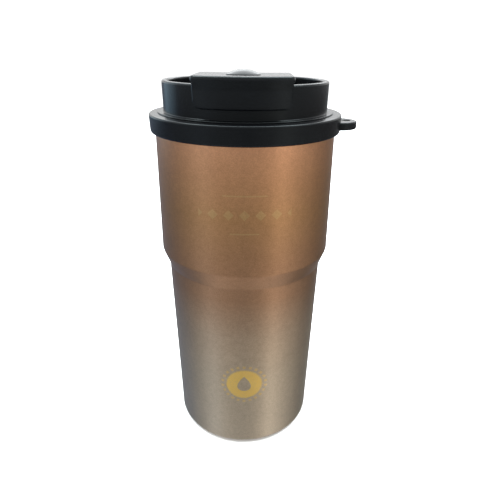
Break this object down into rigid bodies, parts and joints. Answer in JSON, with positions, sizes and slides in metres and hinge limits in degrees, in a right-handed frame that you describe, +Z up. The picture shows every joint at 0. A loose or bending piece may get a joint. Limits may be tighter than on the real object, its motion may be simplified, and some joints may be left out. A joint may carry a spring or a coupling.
{
  "type": "insulated tumbler with lid",
  "caption": "Double-wall vacuum tumbler with a stepped steel body, a screw-in lid, a flip flap over the drinking hole and a lanyard eye.",
  "frame": {"origin": "centre of the flat pad face that the tumbler stands on", "axes": "+Z up along the cup's axis, -Y towards the front where the flap lifts, +X towards the lanyard eye"},
  "size_m": [0.0928, 0.0854, 0.183],
  "materials": {
    "shell_paint": "satin metallic paint, copper at the top fading to champagne grey at the base",
    "steel": "brushed stainless steel",
    "foil": "thin bright foil",
    "solder": "dull solder",
    "getter_pellet": "sintered grey pellet",
    "lid_plastic": "gloss black moulded plastic",
    "plug_plastic": "satin black moulded plastic",
    "foam": "closed-cell foam",
    "silicone": "soft grey silicone",
    "pad_rubber": "matt black non-slip pad"
  },
  "bodies": {
    "cup": {"outer_shell": "shell_paint", "inner_liner": "steel", "foil_wrap": "foil", "vacuum_base": "steel", "seal_bead": "solder", "getter": "getter_pellet", "getter_clip": "steel", "base_cap": "steel", "base_pad": "pad_rubber"},
    "mouth_seal": {"lid_gasket": "silicone"},
    "lid": {"lid_collar": "lid_plastic", "lid_top": "lid_plastic", "lid_plug": "plug_plastic", "plug_foam": "foam", "passage_seal": "silicone", "hinge_pin": "steel"},
    "flap": {"flap": "lid_plastic", "stopper": "silicone", "stopper_cap": "lid_plastic", "vent_plug": "silicone"}
  },
  "joints": [
    {"name": "lid_lift", "type": "slide", "parent": "cup", "child": "mouth_seal", "axis": [0, 0, 1], "range_m": [0, 0.045]},
    {"name": "lid_turn", "type": "hinge", "parent": "mouth_seal", "child": "lid", "pos_m": [0, 0, 0.165], "axis": [0, 0, 1], "range_deg": [0, 450]},
    {"name": "flap_hinge", "type": "hinge", "parent": "lid", "child": "flap", "pos_m": [0, 0.012, 0.1764], "axis": [-1, 0, 0], "range_deg": [0, 150]}
  ]
}
